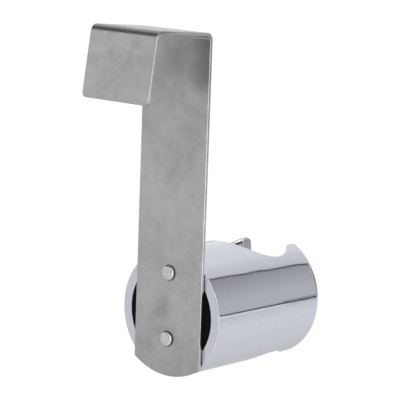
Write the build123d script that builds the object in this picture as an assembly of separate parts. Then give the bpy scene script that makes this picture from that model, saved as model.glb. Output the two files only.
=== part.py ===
from build123d import *
import math
import os

# Over-the-rim hook with a round open-fronted holder for a hand-held sprayer.
# A bent steel strap hangs on a cistern rim. A plastic seat is riveted to its lower end, and a
# chromed holder slides over the seat and is locked there by a set screw.
#
# Millimetres. +X runs across the strap, +Y from the hook's lip towards the holder's front, +Z up.
# The origin is the middle of the underside of the hook's top, where it rests on the rim.

# --- Strap ---------------------------------------------------------------------------------
STRAP_WIDTH = 30.0
SHEET = 1.2
HOOK_GAP = 25.0  # strap to lip, at the seat
TOP_RISE = 4.0  # degrees that the top climbs towards the lip
LIP_SPLAY = 9.0  # degrees that the lip leans outwards
LIP_LENGTH = 24.0
BEND_RADIUS = 2.1  # of the sheet's middle line
LIP_CORNER = 1.8
END_RADIUS = 27.0  # rounded lower end
END_DROP = 21.9  # lower end below the holder's axis
BROKEN_EDGE = 0.15  # along every long edge
LONG_EDGE = 1.5 * SHEET  # the edges through the sheet are shorter

# --- Holder --------------------------------------------------------------------------------
HOLDER_DROP = 97.8  # holder's axis below the seat on the rim
HOLDER_RADIUS = 22.0
HOLDER_LENGTH = 55.4
HOLDER_STAND_OFF = 0.25  # strap to the holder's rear rim
SOCKET_RADIUS = 18.2  # rear socket that takes the seat
SOCKET_DEPTH = 34.0
SOCKET_ROUND = 0.3
FRONT_ROUND = 2.2
REAR_ROUND = 0.3
BORE_RADIUS = 12.35  # tapered bore, at the holder's axis
BORE_DRAFT = 4.5  # degrees
BORE_SETBACK = 14.2  # bore's axis behind the front face
SLOT_WIDTH = 18.2  # hose slot, at the holder's axis
SLOT_DRAFT = 2.9  # degrees, of each side
BORE_WALL = 2.8
MOUTH_ROUND = 0.8  # every edge of the bore and slot
HOLDER_TURN = 2.4  # degrees that the holder is turned on its seat, its top towards -X

# --- Seat ----------------------------------------------------------------------------------
SEAT_RADIUS = 18.1
SEAT_WEB = 3.5
SEAT_SKIRT = 2.2
SEAT_LENGTH = 11.0
SEAT_RIB = 1.8
SEAT_RIB_TURNS = (0, 60, -60)  # degrees
SEAT_NOTCH = 7.2  # gap in the skirt beside the upper rivet
SEAT_NOTCH_BELOW = 1.0  # below the upper washer
SEAT_WASHER_PLAY = 0.6  # round the lower washer
SEAT_CHAMFER = 0.6

# --- Fasteners -----------------------------------------------------------------------------
RIVET_HEIGHTS = {"upper": 14.4, "lower": -8.8}  # from the holder's axis
RIVET_SHANK = 1.6
RIVET_HEAD_RADIUS = 2.6
RIVET_HEAD_HEIGHT = 1.1
RIVET_HEAD_ROUND = 0.75
RIVET_HEAD_UNDERCUT = 0.25  # rounding where the head meets the strap
RIVET_TAIL_RADIUS = 2.4
RIVET_TAIL_HEIGHT = 1.1
RIVET_TAIL_ROUND = 0.66
HOLE_PLAY = 0.05
WASHER_RADIUS = 3.0
WASHER_THICKNESS = 0.8
SCREW_RADIUS = 2.0
SCREW_PLAY = 0.05
SCREW_SETBACK = 6.0  # behind the holder's rear rim
SCREW_RECESS = 0.4
SCREW_KEY = 2.0  # hexagon socket across flats
SCREW_KEY_DEPTH = 1.8
SCREW_CHAMFER = 0.3

# --- Derived places ------------------------------------------------------------------------
STRAP_FACE = HOOK_GAP / 2  # inner face of the strap, towards the cistern
SEAT_REAR = STRAP_FACE + SHEET
REAR = SEAT_REAR + HOLDER_STAND_OFF
FRONT = REAR + HOLDER_LENGTH
AXIS_Z = -HOLDER_DROP
BORE_Y = FRONT - BORE_SETBACK
PAST = 5.0  # how far a cutter runs past what it cuts
CLOSE = 0.01  # lengths closer than this are the same


def rod(radius, start, end, x=0.0, z=0.0):
    """A cylinder along +Y from start to end."""
    at = Pos(x, (start + end) / 2, AXIS_Z + z) * Rot(-90, 0, 0)
    return at * Cylinder(radius, end - start)


def meeting_point(point_a, angle_a, point_b, angle_b):
    """Where two lines in the YZ plane meet. Angles are from +Y towards +Z, in radians."""
    (ya, za), (yb, zb) = point_a, point_b
    cross = math.sin(angle_b - angle_a)
    along_a = ((yb - ya) * math.sin(angle_b) - (zb - za) * math.cos(angle_b)) / cross
    return ya + along_a * math.cos(angle_a), za + along_a * math.sin(angle_a)


def make_hook_strap():
    """One strip, bent twice, with a rounded lower end and two rivet holes."""
    rise, splay, half = math.radians(TOP_RISE), math.radians(LIP_SPLAY), SHEET / 2
    top_angle = math.pi - rise
    lip_angle = math.pi * 1.5 - splay
    on_top = (half * math.sin(rise), half * math.cos(rise))
    inner_corner = (-STRAP_FACE, STRAP_FACE * math.tan(rise))
    on_lip = (
        inner_corner[0] - half * math.cos(splay),
        inner_corner[1] + half * math.sin(splay),
    )
    strap_middle = STRAP_FACE + half
    end_z = AXIS_Z - END_DROP
    top_corner = meeting_point((strap_middle, 0), math.pi / 2, on_top, top_angle)
    lip_corner = meeting_point(on_top, top_angle, on_lip, lip_angle)
    lip_end = (
        lip_corner[0] + LIP_LENGTH * math.cos(lip_angle),
        lip_corner[1] + LIP_LENGTH * math.sin(lip_angle),
    )
    corners = [(strap_middle, end_z), top_corner, lip_corner, lip_end]
    path = FilletPolyline(*[(0, y, z) for y, z in corners], radius=BEND_RADIUS)
    section = Pos(0, strap_middle, end_z) * Rectangle(STRAP_WIDTH, SHEET)
    strap = sweep(section, path=path)

    round_end = rod(END_RADIUS, SEAT_REAR - PAST, SEAT_REAR + PAST, z=END_RADIUS - END_DROP)
    below = Pos(0, SEAT_REAR, end_z) * Box(STRAP_WIDTH + PAST, PAST, END_RADIUS)
    strap -= below - round_end
    through_edges = strap.edges().filter_by(lambda e: abs(e.length - SHEET) < CLOSE)
    strap = fillet(through_edges.group_by(Axis.Y)[0], LIP_CORNER)
    strap = chamfer(strap.edges().filter_by(lambda edge: edge.length > LONG_EDGE), BROKEN_EDGE)
    for z in RIVET_HEIGHTS.values():
        strap -= rod(RIVET_SHANK + HOLE_PLAY, STRAP_FACE - PAST, SEAT_REAR + PAST, z=z)
    return strap


def tapered_bore(grow=0.0):
    """The sprayer's conical seat, widening upwards, and optionally larger all round."""
    half = HOLDER_RADIUS + PAST
    spread = half * math.tan(math.radians(BORE_DRAFT))
    bore = Cone(BORE_RADIUS - spread + grow, BORE_RADIUS + spread + grow, 2 * half)
    return Pos(0, BORE_Y, AXIS_Z) * bore


def hose_slot():
    """The slot from the bore out through the front, widening upwards like the bore."""
    half = HOLDER_RADIUS + PAST
    spread = half * math.tan(math.radians(SLOT_DRAFT))
    low, high = SLOT_WIDTH / 2 - spread, SLOT_WIDTH / 2 + spread
    outline = Polygon((-low, -half), (low, -half), (high, half), (-high, half), align=None)
    length = FRONT + PAST - BORE_Y
    start = Plane(origin=(0, BORE_Y + length, AXIS_Z), x_dir=(1, 0, 0), z_dir=(0, -1, 0))
    return extrude(start * outline, length)


def turned(shape):
    """A shape turned with the holder about the holder's axis."""
    return Pos(0, 0, AXIS_Z) * Rot(0, -HOLDER_TURN, 0) * Pos(0, 0, -AXIS_Z) * shape


def make_holder_shell():
    """The chromed body: round outside, a tapered bore through it and a socket in its rear."""
    body = rod(HOLDER_RADIUS, REAR, FRONT)
    body = fillet(body.edges().group_by(Axis.Y)[-1], FRONT_ROUND)
    body = fillet(body.edges().group_by(Axis.Y)[0], REAR_ROUND)
    body -= tapered_bore() + hose_slot()
    body = fillet(body.edges().filter_by(lambda edge: edge.center().Y > REAR + PAST), MOUTH_ROUND)
    socket = rod(SOCKET_RADIUS, REAR - PAST, REAR + SOCKET_DEPTH)
    body -= socket - tapered_bore(BORE_WALL)
    body = fillet(body.edges().group_by(Axis.Y)[0], SOCKET_ROUND)
    screw_hole = Cylinder(SCREW_RADIUS + SCREW_PLAY, HOLDER_RADIUS)
    body -= Pos(0, REAR + SCREW_SETBACK, AXIS_Z - HOLDER_RADIUS) * screw_hole
    return turned(body)


def make_mounting_seat():
    """A black plug behind the strap: a web for the rivets, a skirt for the set screw, and ribs."""
    front = SEAT_REAR + SEAT_LENGTH
    inner = SEAT_RADIUS - SEAT_SKIRT
    seat = rod(SEAT_RADIUS, SEAT_REAR, front)
    seat = chamfer(seat.edges().group_by(Axis.Y)[-1], SEAT_CHAMFER)
    seat -= rod(inner, SEAT_REAR + SEAT_WEB, front + PAST)
    rib_middle = (SEAT_REAR + SEAT_WEB + front) / 2
    rib_length = front - SEAT_REAR - SEAT_WEB
    for turn in SEAT_RIB_TURNS:
        rib = Rot(0, turn, 0) * Box(2 * inner + SEAT_SKIRT, rib_length, SEAT_RIB)
        seat += Pos(0, rib_middle, AXIS_Z) * rib
    notch_low = RIVET_HEIGHTS["upper"] - WASHER_RADIUS - SEAT_NOTCH_BELOW
    notch_height = SEAT_RADIUS + PAST - notch_low
    notch = Box(SEAT_NOTCH, rib_length + PAST, notch_height)
    seat -= Pos(0, rib_middle + PAST / 2, AXIS_Z + notch_low + notch_height / 2) * notch
    washer_room = WASHER_RADIUS + SEAT_WASHER_PLAY
    seat -= rod(washer_room, SEAT_REAR + SEAT_WEB, front + PAST, z=RIVET_HEIGHTS["lower"])
    for z in RIVET_HEIGHTS.values():
        seat -= rod(RIVET_SHANK + HOLE_PLAY, SEAT_REAR - PAST, front + PAST, z=z)
    return seat


def make_rivet(z):
    """A solid rivet: low button head on the cistern side, formed tail inside the seat."""
    head = rod(RIVET_HEAD_RADIUS, STRAP_FACE - RIVET_HEAD_HEIGHT, STRAP_FACE, z=z)
    head = fillet(head.edges().group_by(Axis.Y)[0], RIVET_HEAD_ROUND)
    head = fillet(head.edges().group_by(Axis.Y)[-1], RIVET_HEAD_UNDERCUT)
    grip_end = SEAT_REAR + SEAT_WEB + WASHER_THICKNESS
    tail = rod(RIVET_TAIL_RADIUS, grip_end, grip_end + RIVET_TAIL_HEIGHT, z=z)
    tail = fillet(tail.edges().group_by(Axis.Y)[-1], RIVET_TAIL_ROUND)
    return head + rod(RIVET_SHANK, STRAP_FACE, grip_end, z=z) + tail


def make_washer(z):
    """The washer that spreads the rivet's tail over the plastic seat."""
    rear = SEAT_REAR + SEAT_WEB
    disc = rod(WASHER_RADIUS, rear, rear + WASHER_THICKNESS, z=z)
    return disc - rod(RIVET_SHANK + HOLE_PLAY, rear - PAST, rear + PAST, z=z)


def make_set_screw():
    """A headless screw, driven up through the holder's wall against the seat's skirt."""
    low = AXIS_Z - HOLDER_RADIUS + SCREW_RECESS
    high = AXIS_Z - SEAT_RADIUS
    screw = Pos(0, 0, (low + high) / 2) * Cylinder(SCREW_RADIUS, high - low)
    screw = chamfer(screw.edges().group_by(Axis.Z)[0], SCREW_CHAMFER)
    key = RegularPolygon(SCREW_KEY / math.sqrt(3), 6)
    screw -= Pos(0, 0, low) * extrude(key, SCREW_KEY_DEPTH)
    return turned(Pos(0, REAR + SCREW_SETBACK, 0) * screw)


def make_parts():
    """Every node's name and its solid."""
    parts = {
        "hook_strap": make_hook_strap(),
        "holder_shell": make_holder_shell(),
        "mounting_seat": make_mounting_seat(),
        "set_screw": make_set_screw(),
    }
    for side, z in RIVET_HEIGHTS.items():
        parts[f"{side}_rivet"] = make_rivet(z)
        parts[f"{side}_washer"] = make_washer(z)
    return parts


os.makedirs("parts", exist_ok=True)
for name, shape in make_parts().items():
    export_step(shape, f"parts/{name}.step")
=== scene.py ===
import math

import bpy
from mathutils import Matrix, Vector


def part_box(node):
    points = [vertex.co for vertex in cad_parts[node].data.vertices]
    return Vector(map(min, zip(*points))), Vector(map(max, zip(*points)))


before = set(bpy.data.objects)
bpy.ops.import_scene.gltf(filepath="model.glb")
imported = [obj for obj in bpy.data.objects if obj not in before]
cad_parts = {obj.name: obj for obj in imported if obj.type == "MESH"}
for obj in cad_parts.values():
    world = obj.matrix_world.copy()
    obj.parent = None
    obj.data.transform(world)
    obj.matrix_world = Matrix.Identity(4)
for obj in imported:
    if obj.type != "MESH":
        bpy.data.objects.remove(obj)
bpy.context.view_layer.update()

# The looks of an over-tank sprayer holder. Metres, in the CAD's own frame: +X across the strap,
# +Y from the hook's lip to the holder's open front, +Z up. Every piece of it is a CAD node.

# --- Places read from the frame ------------------------------------------------------------
SHEET = 0.0012  # the strap's thickness
SEAT_LOW, SEAT_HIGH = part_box("mounting_seat")
STRAP_LOW, STRAP_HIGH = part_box("hook_strap")
HOLDER_AXIS_Z = (SEAT_LOW.z + SEAT_HIGH.z) / 2
STRAP_FACE_Y = SEAT_LOW.y - SHEET  # the strap's face towards the tank
RIVET_HEAD_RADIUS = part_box("upper_rivet")[1].x

# --- Camera --------------------------------------------------------------------------------
AZIMUTH = 40.93  # degrees to the right of looking along +Y
ELEVATION = 9.76
ROLL = 2.05
DISTANCE = 0.7448
SENSOR_MM = 36.0
LENS_MM = 194.9
AIM_RIGHT = 0.0097  # from the strap's face, at the height of the holder's axis
AIM_UP = 0.0395
CLIP_START, CLIP_END = 0.01, 50


def make_camera():
    """A long lens at the height of the hook's top, looking past its lip at the strap's back."""
    azimuth, elevation, roll = (math.radians(a) for a in (AZIMUTH, ELEVATION, ROLL))
    back = Vector(
        (
            math.sin(azimuth) * math.cos(elevation),
            -math.cos(azimuth) * math.cos(elevation),
            math.sin(elevation),
        )
    )
    right = Vector((0, 0, 1)).cross(back).normalized()
    up = back.cross(right)
    target = Vector((0, STRAP_FACE_Y, HOLDER_AXIS_Z))
    place = target + right * AIM_RIGHT + up * AIM_UP + back * DISTANCE
    turned_right = math.cos(roll) * right + math.sin(roll) * up
    turned_up = math.cos(roll) * up - math.sin(roll) * right
    data = bpy.data.cameras.new("camera")
    data.sensor_width = SENSOR_MM
    data.lens = LENS_MM
    data.clip_start = CLIP_START
    data.clip_end = CLIP_END
    camera = bpy.data.objects.new("camera", data)
    turn = Matrix((turned_right, turned_up, back)).transposed().to_4x4()
    camera.matrix_world = Matrix.Translation(place) @ turn
    bpy.context.scene.collection.objects.link(camera)
    bpy.context.scene.camera = camera


make_camera()

# --- Studio --------------------------------------------------------------------------------
TENT_STRENGTH = 1.03
FLOOR_DROP = 0.25  # below the part
FLOOR_HALF = 12.0
FLOOR_SHADE = 0.8
FLOOR_ROUGHNESS = 0.9
FLOOR_GLOW = 0.2
CARD_STEPS = 16

# Light on the front right.
LIGHT_PLACE = Vector((0.95, -0.6, 0.15))
LIGHT_AIM = Vector((0, 0, -0.05))
LIGHT_WIDTH, LIGHT_HEIGHT = 0.45, 1.0
LIGHT_WATTS = 3.2

# The cards below are what the metal reflects. Their places are measured from the point straight
# below the frame's origin at the height of the holder's axis. Shades are pairs of how far up or
# along a card and the shade there.

# A grey wall behind on the right, with a slanted left edge. Its dark foot and dark left edge are
# the two thin lines along the holder. A paler grey beside that edge fades away from it.
WALL_Y = 1.0
WALL_LEFT_LOW, WALL_LEFT_HIGH = 0.592, 0.33
WALL_RIGHT = 1.6
WALL_LOW, WALL_HIGH = -0.168, 1.065
WALL_LOW_RIGHT = 0.053  # its foot climbs to the right
WALL_RISING = [
    (0.0, 0.05),
    (0.026, 0.05),
    (0.036, 0.69),
    (0.28, 0.69),
    (0.47, 0.61),
    (0.63, 0.53),
    (0.72, 0.46),
    (1.0, 0.43),
]
WALL_SIDEWAYS = [(0.0, 0.08), (0.022, 0.08), (0.032, 1.0), (1.0, 1.0)]
WALL_SIDE_WIDTH = 0.4
WALL_SIDE_SHADE = 0.82

# The table round the part, from far on the right to close by on the left.
TABLE_Z = -0.22
TABLE_RIGHT, TABLE_LEFT = 1.4, -0.6
TABLE_NEAR, TABLE_FAR = -0.2, 2.0
TABLE_SHADES = [
    (0.0, 1.0),
    (0.05, 1.0),
    (0.09, 0.8),
    (0.4, 0.92),
    (0.53, 0.99),
    (0.6, 0.97),
    (0.685, 0.88),
    (0.76, 0.7),
    (1.0, 0.55),
]

REAR_FLAG_SHADES = [(0, 0.8), (0.15, 0.1), (0.85, 0.1), (1, 0.6)]
# Upright flags: name, where each starts and ends in plan, its foot, its top, its rising shades.
FLAGS = (
    # Straight behind, for the dark outline of the holder's rounded front edge.
    ("rear_flag", (-0.3, 0.97), (0.38, 0.97), -0.15, 0.3, REAR_FLAG_SHADES),
    # A small thing in front of the wall, which darkens part of the far claw's flat face.
    ("claw_spot", (0.775, 0.98), (0.81, 0.98), -0.0705, -0.045, [(0, 0.15), (1, 0.15)]),
    # Beside the light on the front right, for the dark half of the far claw's curved face.
    ("claw_flag", (0.9, -0.46), (1.08, -0.2), -0.02, 0.4, [(0, 0.04), (1, 0.04)]),
    # Behind on the left, for a darker edge down the strap against the white.
    ("rear_left_flag", (-1.6, 0.4), (-0.2, 1.7), -0.3, 0.1, [(0, 0.2), (0.6, 0.3), (1, 1)]),
    # Low on the front left, which the strap and the holder's rim look at.
    ("front_left_table", (-0.9, 0.1), (0.2, -1.0), -0.4, -0.03, [(0, 0.9), (1, 0.86)]),
    # The dark room beyond the camera's left, a thin line on every rounded edge.
    ("front_flag", (-0.25, -1.2), (0.3, -1.2), -0.35, 0.5, [(0, 0.12), (1, 0.12)]),
)

# High on the front left, leaning in, for the dark line along the hook's fold.
FOLD_FLAG_LOW = ((-1.0, 0.1, 0.42), (-0.1, -1.0, 0.42))
FOLD_FLAG_HIGH = ((-0.8, 0.1, 0.95), (-0.1, -0.8, 0.95))
FOLD_FLAG_SHADES = [(0, 0.1), (0.6, 0.1), (1, 0.5)]

EVEN = [(0, 1), (1, 1)]


def node_input(node, name, value):
    """Sets one of a node's inputs."""
    node.inputs[name].default_value = value


def make_world():
    """An even white tent all round."""
    world = bpy.data.worlds.new("tent")
    bpy.context.scene.world = world
    world.use_nodes = True
    background = world.node_tree.nodes["Background"]
    node_input(background, "Color", (1, 1, 1, 1))
    node_input(background, "Strength", TENT_STRENGTH)


def make_floor():
    """A plain pale floor, well below the hanging part."""
    half = FLOOR_HALF
    z = STRAP_LOW.z - FLOOR_DROP
    mesh = bpy.data.meshes.new("floor")
    corners = [(-half, -half, z), (half, -half, z), (half, half, z), (-half, half, z)]
    mesh.from_pydata(corners, [], [(0, 1, 2, 3)])
    floor = bpy.data.objects.new("floor", mesh)
    bpy.context.scene.collection.objects.link(floor)
    material = bpy.data.materials.new("pale_floor")
    material.use_nodes = True
    shader = material.node_tree.nodes["Principled BSDF"]
    node_input(shader, "Base Color", (FLOOR_SHADE, FLOOR_SHADE, FLOOR_SHADE, 1))
    node_input(shader, "Roughness", FLOOR_ROUGHNESS)
    node_input(shader, "Emission Color", (1, 1, 1, 1))
    node_input(shader, "Emission Strength", FLOOR_GLOW)
    mesh.materials.append(material)


def card_mesh(name, low, high):
    """A sheet between two straight edges, with how far along and how far up as its UVs."""
    points, places = [], []
    for i in range(CARD_STEPS + 1):
        for j in range(CARD_STEPS + 1):
            along, up = i / CARD_STEPS, j / CARD_STEPS
            points.append(low[0].lerp(low[1], along).lerp(high[0].lerp(high[1], along), up))
            places.append((along, up))
    row = CARD_STEPS + 1
    faces = [
        (i * row + j, (i + 1) * row + j, (i + 1) * row + j + 1, i * row + j + 1)
        for i in range(CARD_STEPS)
        for j in range(CARD_STEPS)
    ]
    mesh = bpy.data.meshes.new(name)
    mesh.from_pydata(points, [], faces)
    layer = mesh.uv_layers.new(name="across")
    for loop, uv in zip(mesh.loops, layer.data):
        uv.uv = places[loop.vertex_index]
    return mesh


def card_material(name, rising, sideways):
    """A glow whose shade is that of rising, up the card, times that of sideways, along it."""
    material = bpy.data.materials.new(name)
    material.use_nodes = True
    tree = material.node_tree
    tree.nodes.clear()
    place = tree.nodes.new("ShaderNodeTexCoord")
    split = tree.nodes.new("ShaderNodeSeparateXYZ")
    both = tree.nodes.new("ShaderNodeMath")
    both.operation = "MULTIPLY"
    glow = tree.nodes.new("ShaderNodeEmission")
    out = tree.nodes.new("ShaderNodeOutputMaterial")
    tree.links.new(place.outputs["UV"], split.inputs[0])
    for axis, shades, factor in (("X", sideways, 0), ("Y", rising, 1)):
        ramp = tree.nodes.new("ShaderNodeValToRGB")
        elements = ramp.color_ramp.elements
        for at, _ in shades[1:-1]:
            elements.new(at)
        for element, (_, shade) in zip(elements, shades):
            element.color = (shade, shade, shade, 1)
        tree.links.new(split.outputs[axis], ramp.inputs[0])
        tree.links.new(ramp.outputs[0], both.inputs[factor])
    tree.links.new(both.outputs[0], glow.inputs["Color"])
    tree.links.new(glow.outputs[0], out.inputs["Surface"])
    return material


def make_card(name, low, high, rising, sideways=EVEN):
    """A card between a low and a high edge, which the metal reflects and the camera doesn't see."""
    start = Vector((0, 0, HOLDER_AXIS_Z))
    low, high = ([start + Vector(end) for end in edge] for edge in (low, high))
    mesh = card_mesh(name, low, high)
    mesh.materials.append(card_material(name, rising, sideways))
    card = bpy.data.objects.new(name, mesh)
    bpy.context.scene.collection.objects.link(card)
    card.visible_camera = False
    card.visible_shadow = False
    card.visible_diffuse = False


def make_wall():
    """The grey wall, and the paler grey beside it."""
    make_card(
        "rear_wall",
        low=((WALL_LEFT_LOW, WALL_Y, WALL_LOW), (WALL_RIGHT, WALL_Y, WALL_LOW_RIGHT)),
        high=((WALL_LEFT_HIGH, WALL_Y, WALL_HIGH), (WALL_RIGHT, WALL_Y, WALL_HIGH)),
        rising=WALL_RISING,
        sideways=WALL_SIDEWAYS,
    )
    low, high = (
        ((left - WALL_SIDE_WIDTH, WALL_Y, z), (left, WALL_Y, z))
        for left, z in ((WALL_LEFT_LOW, WALL_LOW), (WALL_LEFT_HIGH, WALL_HIGH))
    )
    make_card("rear_wall_side", low, high, EVEN, sideways=[(0, 1), (1, WALL_SIDE_SHADE)])


def make_cards():
    """The grey things round the tent that give the metal its lines and edges."""
    make_wall()
    low, high = (
        ((x, TABLE_NEAR, TABLE_Z), (x, TABLE_FAR, TABLE_Z)) for x in (TABLE_RIGHT, TABLE_LEFT)
    )
    make_card("table", low, high, TABLE_SHADES)
    for name, start, end, foot, top, rising in FLAGS:
        low, high = (((*start, z), (*end, z)) for z in (foot, top))
        make_card(name, low, high, rising)
    make_card("front_left_flag", FOLD_FLAG_LOW, FOLD_FLAG_HIGH, FOLD_FLAG_SHADES)


def make_light():
    """A soft light from the front right."""
    data = bpy.data.lights.new("front_right", "AREA")
    data.shape = "RECTANGLE"
    data.size = LIGHT_WIDTH
    data.size_y = LIGHT_HEIGHT
    data.energy = LIGHT_WATTS
    light = bpy.data.objects.new("front_right", data)
    light.location = LIGHT_PLACE
    light.rotation_euler = (LIGHT_AIM - LIGHT_PLACE).to_track_quat("-Z", "Y").to_euler()
    light.visible_camera = False
    bpy.context.scene.collection.objects.link(light)


bpy.context.scene.view_settings.view_transform = "Standard"
make_world()
make_floor()
make_cards()
make_light()

# --- Materials -----------------------------------------------------------------------------
# Painted shade and reflection on the strap against its plain colour: height, brightness there.
STRAP_PAINTED_SHADING = [
    (-0.122, 0.92),
    (-0.11, 0.93),
    (-0.1, 1.02),
    (-0.06, 1.05),
    (-0.04, 0.99),
    (-0.028, 0.88),
    (-0.018, 0.82),
    (0.002, 0.85),
]
STRAP_STARTS = (0.0015, 0.0005)  # in front of the strap's face; farther in front is the hook
# Soft darker spots on the strap and on the lip: x, distance in front of the strap's face, z, radius
# of the darker part, radius where it ends, brightness in it.
DARKER_SPOTS = (
    (-0.0022, 0, -0.0965, 0.0003, 0.0052, 0.78),
    (-0.0015, 0, -0.0115, 0.002, 0.0115, 0.8),
    # A painted reflection of the lip's shaded inner side, on the strap's right under the hook.
    (0.011, 0, -0.017, 0.0005, 0.005, 0.85),
    (0.009, 0, -0.037, 0.002, 0.014, 0.92),
    (0.002, 0, -0.047, 0.002, 0.009, 0.95),
    (0.006, 0.0267, -0.0025, 0.0003, 0.003, 0.82),
    (0.004, 0.0277, -0.009, 0.0003, 0.0045, 0.92),
    (-0.004, 0.029, -0.021, 0.004, 0.018, 0.91),
)
# Painted reflection on the hook's top: darker towards the lip, brighter towards the strap.
TOP_STARTS = (0.0008, 0.0012)  # heights
TOP_SPAN = (-0.014, 0.012)  # from above the lip to above the strap
TOP_PAINTED_REFLECTION = (0.52, 1.36)
# The sheared sides of the strip are brighter than its faces.
SIDE_STARTS = (0.00012, 0.00006)  # in from the side
SIDE_BRIGHTNESS = 1.12
# Painted shade in the crevice round each rivet's head, on the strap and on the head's foot.
CREVICE = (0.0001, 0.0004)  # beyond the head's radius
PAINTED_CREVICE_SHADE = 0.35
HEAD_FOOT = (0.0005, 0.0003)  # in front of the strap's face
PAINTED_HEAD_FOOT_SHADE = 0.3

PATCHES = (0.38, 0.62)  # most of what the strap's mixed noise reaches
BRIGHTEST = 2.0  # that a profile can reach


def grey(shade):
    return (shade, shade, shade)


class Shader:
    """A material being built: a Principled shader and the nodes that feed it."""

    def __init__(self, name, metallic=1.0):
        self.material = bpy.data.materials.new(name)
        self.material.use_nodes = True
        self.tree = self.material.node_tree
        self.surface = self.tree.nodes["Principled BSDF"]
        self.place = self.tree.nodes.new("ShaderNodeTexCoord").outputs["Object"]
        node_input(self.surface, "Metallic", metallic)

    def link(self, output, name):
        """Feeds a node's output to an input of the surface."""
        self.tree.links.new(output, self.surface.inputs[name])

    def noise(self, scale, detail=3.0, roughness=0.55, stretch=(1, 1, 1), distortion=0.0):
        """Noise with about scale bumps a metre, drawn out along the axes whose stretch is small."""
        mapping = self.tree.nodes.new("ShaderNodeMapping")
        node_input(mapping, "Scale", stretch)
        self.tree.links.new(self.place, mapping.inputs["Vector"])
        noise = self.tree.nodes.new("ShaderNodeTexNoise")
        node_input(noise, "Scale", scale)
        node_input(noise, "Detail", detail)
        node_input(noise, "Roughness", roughness)
        node_input(noise, "Distortion", distortion)
        self.tree.links.new(mapping.outputs[0], noise.inputs["Vector"])
        return noise.outputs["Fac"]

    def ramp(self, value, low, high, at=(0.3, 0.7)):
        """A number that goes from low to high while value goes from one end of at to the other."""
        spread = self.tree.nodes.new("ShaderNodeMapRange")
        node_input(spread, "From Min", at[0])
        node_input(spread, "From Max", at[1])
        node_input(spread, "To Min", low)
        node_input(spread, "To Max", high)
        self.tree.links.new(value, spread.inputs["Value"])
        return spread.outputs["Result"]

    def tint(self, value, first, last, at=(0.3, 0.7)):
        """A colour that goes from first to last while value goes from one end of at to the other."""
        ramp = self.tree.nodes.new("ShaderNodeValToRGB")
        for element, place, colour in zip(ramp.color_ramp.elements, at, (first, last)):
            element.position = place
            element.color = (*colour, 1)
        self.tree.links.new(value, ramp.inputs[0])
        return ramp.outputs["Color"]

    def calculate(self, operation, first, second=0.0):
        """What the operation makes of one or two values, each a number or a node's output."""
        node = self.tree.nodes.new("ShaderNodeMath")
        node.operation = operation
        for socket, value in zip(node.inputs, (first, second)):
            if isinstance(value, (int, float)):
                socket.default_value = value
            else:
                self.tree.links.new(value, socket)
        return node.outputs[0]

    def blend(self, *parts):
        """Values added up, each times its weight."""
        total = 0.0
        for value, weight in parts:
            weighted = self.calculate("MULTIPLY", value, weight)
            total = self.calculate("ADD", total, weighted)
        return total

    def coordinate(self, axis):
        """One coordinate in the part's own frame."""
        split = self.tree.nodes.new("ShaderNodeSeparateXYZ")
        self.tree.links.new(self.place, split.inputs[0])
        return split.outputs[axis]

    def away_from(self, centre, near, far, at_centre):
        """at_centre nearer than near to the centre, and 1 farther off than far."""
        distance = self.tree.nodes.new("ShaderNodeVectorMath")
        distance.operation = "DISTANCE"
        self.tree.links.new(self.place, distance.inputs[0])
        distance.inputs[1].default_value = centre
        return self.ramp(distance.outputs["Value"], at_centre, 1.0, at=(near, far))

    def profile(self, value, steps):
        """A number that follows steps, pairs of a value and the number there, straight between."""
        curve = self.tree.nodes.new("ShaderNodeFloatCurve")
        first, last = steps[0][0], steps[-1][0]
        points = curve.mapping.curves[0].points
        for at, _ in steps[1:-1]:
            points.new((at - first) / (last - first), 0)
        for point, (at, number) in zip(points, steps):
            point.location = ((at - first) / (last - first), number / BRIGHTEST)
            point.handle_type = "VECTOR"
        curve.mapping.update()
        self.tree.links.new(self.ramp(value, 0, 1, at=(first, last)), curve.inputs["Value"])
        return self.calculate("MULTIPLY", curve.outputs[0], BRIGHTEST)

    def only_where(self, mask, factor):
        """The factor where the mask is 1, and 1 where the mask is 0."""
        change = self.calculate("SUBTRACT", factor, 1.0)
        return self.calculate("ADD", 1.0, self.calculate("MULTIPLY", mask, change))

    def shaded(self, colour, *factors):
        """A colour made darker or paler by each of the factors."""
        for factor in factors:
            scale = self.tree.nodes.new("ShaderNodeVectorMath")
            scale.operation = "SCALE"
            self.tree.links.new(colour, scale.inputs[0])
            self.tree.links.new(factor, scale.inputs["Scale"])
            colour = scale.outputs["Vector"]
        return colour

    def bump(self, height, depth):
        """Adds height as a bump depth metres deep, over any bump already there."""
        node = self.tree.nodes.new("ShaderNodeBump")
        node_input(node, "Strength", 1.0)
        node_input(node, "Distance", depth)
        self.tree.links.new(height, node.inputs["Height"])
        earlier = self.surface.inputs["Normal"].links
        if earlier:
            self.tree.links.new(earlier[0].from_socket, node.inputs["Normal"])
        self.link(node.outputs["Normal"], "Normal")


def strap_painted_light_and_sides(shader):
    """Painted shading on the strap and the hook's top, and brighter sheared sides, as factors of its
    colour.
    """
    across, depth, height = (shader.coordinate(axis) for axis in "XYZ")
    strap_starts = [STRAP_FACE_Y - ahead for ahead in STRAP_STARTS]
    on_strap = shader.ramp(depth, 0, 1, at=strap_starts)
    # Painted shade and reflection down the strap, darkest up under the hook.
    along_strap = shader.only_where(on_strap, shader.profile(height, STRAP_PAINTED_SHADING))
    on_top = shader.ramp(height, 0, 1, at=TOP_STARTS)
    # Painted reflection: the hook's top darker towards the lip.
    along_top = shader.only_where(on_top, shader.ramp(depth, *TOP_PAINTED_REFLECTION, at=TOP_SPAN))
    side_starts = [STRAP_HIGH.x - inside for inside in SIDE_STARTS]
    off_middle = shader.calculate("ABSOLUTE", across)
    on_side = shader.ramp(off_middle, 1.0, SIDE_BRIGHTNESS, at=side_starts)
    return along_strap, along_top, on_side


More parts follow.
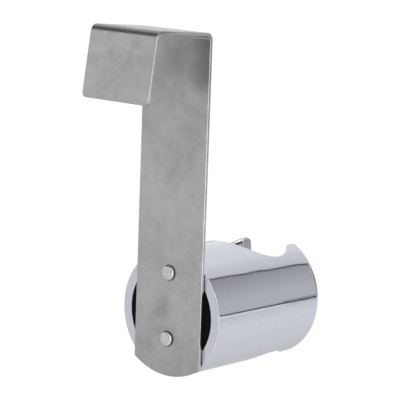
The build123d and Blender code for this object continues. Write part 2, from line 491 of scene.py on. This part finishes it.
def strap_spots(shader):
    """Darker spots on the strap and painted shade in rings round the rivets, as factors of its
    colour.
    """
    spots = [
        shader.away_from((x, STRAP_FACE_Y - ahead, z), near, far, brightness)
        for x, ahead, z, near, far, brightness in DARKER_SPOTS
    ]
    ring = [RIVET_HEAD_RADIUS + beyond for beyond in CREVICE]
    for rivet in ("upper_rivet", "lower_rivet"):
        low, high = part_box(rivet)
        centre = (0, STRAP_FACE_Y, (low.z + high.z) / 2)
        # A ring of painted shade in the crevice round the rivet's head.
        spots.append(shader.away_from(centre, *ring, PAINTED_CREVICE_SHADE))
    return spots


def stainless_sheet():
    """Satin stainless: fine grinding lines along the strip, cloudy patches, a few darker spots,
    painted shading down the strap and over the hook's top, and painted shade in the crevice round
    each rivet's head."""
    shader = Shader("satin_stainless")
    clouds = shader.noise(70, detail=5, roughness=0.65, distortion=0.6)
    grain = shader.noise(1400, detail=2, roughness=0.7, stretch=(3.0, 0.12, 0.12))
    mottle = shader.noise(420, detail=3, roughness=0.7)
    mixed = shader.blend((clouds, 0.6), (mottle, 0.2), (grain, 0.2))
    metal = shader.tint(mixed, (0.34, 0.34, 0.35), (0.445, 0.445, 0.45), at=PATCHES)
    shader.link(shader.shaded(metal, *strap_painted_light_and_sides(shader), *strap_spots(shader)), "Base Color")
    shader.link(shader.ramp(mixed, 0.34, 0.27, at=PATCHES), "Roughness")
    shader.bump(grain, depth=0.000004)
    shader.bump(mottle, depth=0.000006)
    return shader.material


def chrome_plating():
    """Bright chrome over moulded plastic: a faint waviness and the haze of handling."""
    shader = Shader("bright_chrome")
    waves = shader.noise(50, detail=1, roughness=0.4)
    haze = shader.noise(180, detail=4, roughness=0.65)
    shader.link(shader.tint(haze, (0.575, 0.59, 0.65), (0.59, 0.605, 0.665)), "Base Color")
    shader.link(shader.ramp(haze, 0.05, 0.085), "Roughness")
    shader.bump(waves, depth=0.00015)
    return shader.material


def black_moulding_in_painted_shade():
    """Black moulded plastic with a fine spark texture, painted darker than bare black plastic for
    the shade in the recess.
    """
    shader = Shader("black_moulding_in_painted_shade", metallic=0.0)
    # Painted shade: this shine and the colour below are darker than bare black plastic, for the
    # recess inside the ring.
    node_input(shader.surface, "Specular IOR Level", 0.035)
    grain = shader.noise(2600, detail=2, roughness=0.6)
    clouds = shader.noise(120)
    shader.link(shader.tint(clouds, grey(0.002), grey(0.0035)), "Base Color")
    shader.link(shader.ramp(clouds, 0.42, 0.55), "Roughness")
    shader.bump(grain, depth=0.00002)
    return shader.material


def rivet_steel():
    """Bright stainless, burnished by the tool that set it, with painted shade round its foot."""
    shader = Shader("rivet_steel")
    dents = shader.noise(900, detail=3, roughness=0.6)
    foot = [STRAP_FACE_Y - ahead for ahead in HEAD_FOOT]
    # Painted shade on the head's foot, in the crevice against the strap.
    painted_foot_shade = shader.ramp(shader.coordinate("Y"), 1.0, PAINTED_HEAD_FOOT_SHADE, at=foot)
    bright = shader.tint(dents, grey(0.5), grey(0.62))
    shader.link(shader.shaded(bright, painted_foot_shade), "Base Color")
    shader.link(shader.ramp(dents, 0.24, 0.16), "Roughness")
    shader.bump(dents, depth=0.00003)
    return shader.material


def plain_steel(name, dark, bright, rough, smooth):
    """Plain fastener steel, dulled unevenly."""
    shader = Shader(name)
    dull = shader.noise(700, detail=3, roughness=0.6)
    shader.link(shader.tint(dull, grey(dark), grey(bright)), "Base Color")
    shader.link(shader.ramp(dull, rough, smooth), "Roughness")
    shader.bump(dull, depth=0.00001)
    return shader.material


def dress(material, *nodes):
    """Gives each named CAD node that material."""
    for name in nodes:
        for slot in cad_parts[name].material_slots:
            slot.material = material


dress(stainless_sheet(), "hook_strap")
dress(chrome_plating(), "holder_shell")
dress(black_moulding_in_painted_shade(), "mounting_seat")
dress(rivet_steel(), "upper_rivet", "lower_rivet")
washer_steel = plain_steel("washer_steel", dark=0.425, bright=0.5, rough=0.38, smooth=0.26)
dress(washer_steel, "upper_washer", "lower_washer")
dress(plain_steel("screw_steel", dark=0.272, bright=0.32, rough=0.43, smooth=0.31), "set_screw")
